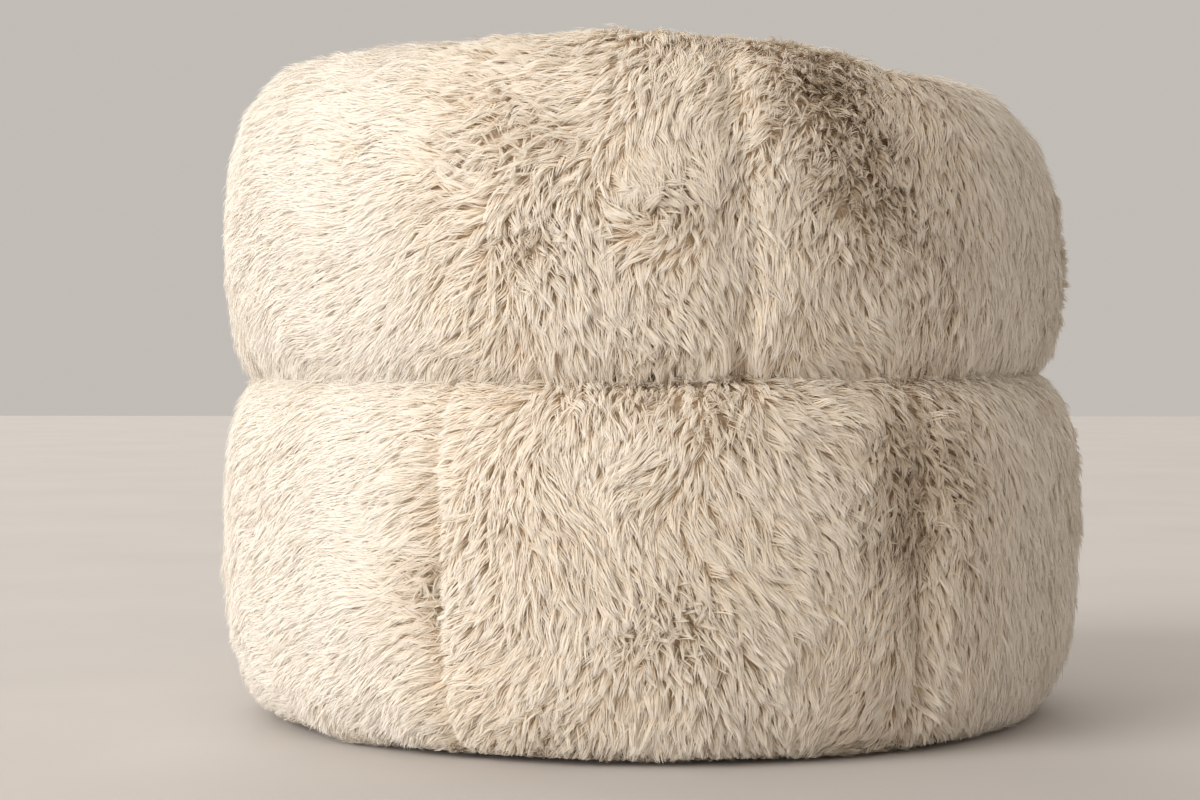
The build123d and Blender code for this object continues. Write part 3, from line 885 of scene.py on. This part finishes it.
def grow(node, skin, density):
    """Strands of pile on one panel, as tapered ribbons gathered into locks."""
    r = np.random.default_rng(sum(ord(c) * (i + 1) for i, c in enumerate(node)))
    root, normal = scatter(skin, node, density, r)
    count = len(root)
    curl = curliness(root)
    sleek = softness(root) * (1 - curl)
    at_waist = np.exp(-((root[:, 2] - WAIST_Z) / 0.022) ** 2) * outside(root)
    hang = at_waist * (root[:, 2] > WAIST_Z) * np.clip(0.9 + 0.5 * ragged_noise(root), 0.2, 1.4)

    locks = Locks(root, curl > 0.5)
    own = r.random((locks.count, 5))[locks.of]
    tuft = r.normal(size=(locks.count, 2))[locks.of]

    direction = comb(locks.mean(root), normal)
    direction = unit(direction - np.sum(direction * normal, 1, keepdims=True) * normal)
    across = np.cross(normal, direction)
    turn = tuft[:, 0] * (0.13 + 0.45 * curl - 0.08 * sleek) + r.normal(0, 0.09, count)
    direction = direction * np.cos(turn)[:, None] + across * np.sin(turn)[:, None]
    across = np.cross(normal, direction)

    rise = RISE + (8 - 5 * sleek) * lift_noise(root) + CURL_RISE * curl - 7 * sleek + 12 * (at_waist - hang)
    rise = np.radians(rise + (5 - 3 * sleek) * tuft[:, 1] + r.normal(0, 5, count))
    fall = rise - np.radians(ARCH + (16 - 10 * sleek) * (own[:, 2] - 0.5) + 10 * curl - 8 * sleek)
    long = LENGTH * pile_height(root) * (1 + 0.10 * length_noise(root)) * (1 - 0.22 * curl)
    long *= (0.88 + 0.20 * own[:, 3]) * r.uniform(0.84, 1.08, count)
    wave = (own[:, 4] - 0.5) * (1.1 + 1.4 * curl - 0.5 * sleek) + r.normal(0, 0.10, count)
    line = [root]
    for k in range(3):
        s = (STEPS[k] + STEPS[k + 1]) / 2
        angle = rise + (fall - rise) * s
        side = wave * math.cos(math.pi * 1.5 * s)
        go = direction * np.cos(angle)[:, None] + normal * np.sin(angle)[:, None] + across * side[:, None]
        go[:, 2] -= (0.12 + 0.9 * hang) * s
        line.append(line[-1] + unit(go) * (long * (STEPS[k + 1] - STEPS[k]))[:, None])

    # the strands of a lock draw together towards their tips
    for k, pull in enumerate(GATHER):
        share = pull * (0.55 + 0.45 * own[:, 0]) * (1 + 0.35 * curl - 0.72 * sleek)
        line[k + 1] = line[k + 1] + (locks.mean(line[k + 1]) - line[k + 1]) * share[:, None]
    lowest = LOWEST_TIP + 0.004 * own[:, 1] + 0.002 * r.random(count)
    lowest += 0.004 * np.clip(fringe_noise(root), 0, 1)
    for k in range(1, 4):
        line[k][:, 2] = np.maximum(line[k][:, 2], np.minimum(lowest, root[:, 2]))

    soft = unit(normal + 0.16 * np.stack([tuft[:, 0], tuft[:, 1], -tuft[:, 0]], -1))
    verts, shade = ribbons(line, normal, soft, WIDTH * (0.8 + 0.4 * own[:, 3]), r)

    uneven = 0.09 * r.normal(size=count) + 0.14 * (own[:, 3] - 0.5) + 0.10 * tone_noise(root)
    tone = 0.60 + uneven * (0.7 - 0.45 * sleek) + 0.08 * sleek
    # curls are painted darker, as shade among their standing strands, and darker still on the back's side
    # away from the window light
    shade_away_from_window = ease((polar(root) + 5) / 30) * (root[:, 1] > 0)
    tone -= curl * (0.24 + 0.24 * shade_away_from_window)
    tone = np.clip(tone, 0.02, 0.98)
    pieces = math.ceil(count / MOST_STRANDS)
    for n in range(pieces):
        name = f"{node}_pile_{n + 1}" if pieces > 1 else f"{node}_pile"
        chosen = slice(n * count // pieces, (n + 1) * count // pieces)
        strand_object(name, verts[chosen].reshape(-1, 3), shade[chosen].reshape(-1, 3), tone[chosen],
                      (0.19 + 0.45 * sleek - 0.12 * curl)[chosen])


def strand_object(name, verts, shade, tone, lift):
    """One mesh of ribbons, five triangles each, whose shading follows the cloth under them.

    lift, from 0 to 1, raises the colour of each strand's root, painted darker as shade, towards that of its
    tip.
    """
    count = len(tone)
    base = (np.arange(count) * POINTS)[:, None]
    loops = (np.array([0, 1, 3, 2, 2, 3, 5, 4, 4, 5, 6])[None] + base).reshape(-1)
    sizes = np.tile([4, 4, 3], count)
    mesh = bpy.data.meshes.new(name)
    mesh.vertices.add(len(verts))
    mesh.vertices.foreach_set("co", verts.astype(np.float32).reshape(-1))
    mesh.loops.add(len(loops))
    mesh.loops.foreach_set("vertex_index", loops.astype(np.int32))
    mesh.polygons.add(len(sizes))
    mesh.polygons.foreach_set("loop_start", np.concatenate([[0], np.cumsum(sizes)[:-1]]))
    mesh.polygons.foreach_set("use_smooth", np.ones(len(sizes), bool))
    height = np.repeat([0.02, STEPS[1], STEPS[2], 0.98], [2, 4, 4, 1])
    spread = np.array([-1, 1, 1, -1, -1, 1, 1, -1, -1, 1, 0]) * 0.004
    uv = np.zeros((count, 11, 2), np.float32)
    uv[..., 0] = tone[:, None] + spread[None]
    uv[..., 1] = lift[:, None] + (1 - lift[:, None]) * height[None]
    mesh.uv_layers.new(name="OFBake").data.foreach_set("uv", uv.reshape(-1))
    mesh.update(calc_edges=True)
    mesh.validate()
    facing = mesh.attributes.new("custom_normal", "FLOAT_VECTOR", "POINT")
    facing.data.foreach_set("vector", shade.astype(np.float32).reshape(-1))
    obj = bpy.data.objects.new(name, mesh)
    bpy.context.scene.collection.objects.link(obj)
    mesh.materials.append(MATERIALS["fur"])
    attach(obj, "root")


DENSITY = {"drum": 215000.0, "outer": 215000.0, "inner": 160000.0, "arm": 180000.0, "seat": 150000.0}
for skin in (drum_skin(), bolster_skin(), seat_skin()):
    skin.normals = vertex_normals(skin.verts, triangles(skin.faces))
    for node in skin.panels:
        backing = skin_piece(node, skin)
        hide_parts(node)
        grow(node, skin, DENSITY[node.split("_")[0]])

base_half("base_cloth_rear", 1)
base_half("base_cloth_front", -1)
for name in [n for n in frame["nodes"] if "zip_coil" in n]:
    zip_coil(name)

SLOT_MATERIAL = {s["node"]: s.get("material_slot", s["node"]) for s in frame["record"]["subparts"]}
for name, obj in frame["nodes"].items():
    obj.data.materials.clear()
    obj.data.materials.append(MATERIALS[SLOT_MATERIAL[name]])


# ---------------------------------------------------------------------------
# Floor, light and camera
# ---------------------------------------------------------------------------
def stage():
    """A pale floor with a faint drift of colour."""
    corners = [(x * FLOOR_HALF, y * FLOOR_HALF, 0) for x, y in ((-1, -1), (1, -1), (1, 1), (-1, 1))]
    floor = new_object("floor", corners, [(0, 1, 2, 3)])
    mat, tree, shader = material("floor")
    noise = tree.nodes.new("ShaderNodeTexNoise")
    noise.inputs["Scale"].default_value = 2.2
    noise.inputs["Detail"].default_value = 8
    coords = tree.nodes.new("ShaderNodeTexCoord")
    tree.links.new(coords.outputs["Object"], noise.inputs["Vector"])
    colour = ramp(tree, noise.outputs["Fac"], [(0.3, (0.505, 0.475, 0.45)), (0.7, (0.535, 0.505, 0.48))])
    tree.links.new(colour, shader.inputs["Base Color"])
    shader.inputs["Roughness"].default_value = 0.75
    floor.data.materials.append(mat)


def sun(name, toward, power, softness, colour):
    """Light from far away, along a direction that points to where it comes from."""
    data = bpy.data.lights.new(name, "SUN")
    data.energy = power
    data.angle = math.radians(softness)
    data.color = colour
    obj = bpy.data.objects.new(name, data)
    obj.rotation_euler = Vector(toward).to_track_quat("Z", "Y").to_euler()
    bpy.context.scene.collection.objects.link(obj)


def lights_and_camera():
    """Daylight from one side with soft fill, and a camera behind the chair, a little above its middle."""
    sun("window", (2.4, 1.9, 1.0), 2.85, 40, (0.98, 0.985, 0.99))
    sun("room", (0.3, 1.0, 0.45), 1.05, 90, (1.0, 0.92, 0.80))
    sun("rear_window", (0.5, -1.0, 0.55), 1.1, 60, (1.0, 0.96, 0.90))
    world = bpy.data.worlds.new("studio")
    world.use_nodes = True
    world.node_tree.nodes["Background"].inputs["Color"].default_value = (0.53, 0.495, 0.462, 1)
    world.node_tree.nodes["Background"].inputs["Strength"].default_value = 1.02
    bpy.context.scene.world = world

    data = bpy.data.cameras.new("camera")
    data.sensor_width = 36.0
    data.lens = 76.8
    camera = bpy.data.objects.new("camera", data)
    distance, height = 3.15, 0.45
    yaw, pitch = math.radians(1.10), math.radians(1.34)
    camera.location = (0.0, distance, height)
    camera.rotation_mode = "XYZ"
    camera.rotation_euler = (math.pi / 2 - pitch, 0.0, math.pi + yaw)
    bpy.context.scene.collection.objects.link(camera)
    bpy.context.scene.camera = camera


stage()
lights_and_camera()
bpy.context.scene.view_settings.view_transform = "Standard"
bpy.context.scene.cycles.diffuse_bounces = 8
bpy.context.scene.cycles.transmission_bounces = 8
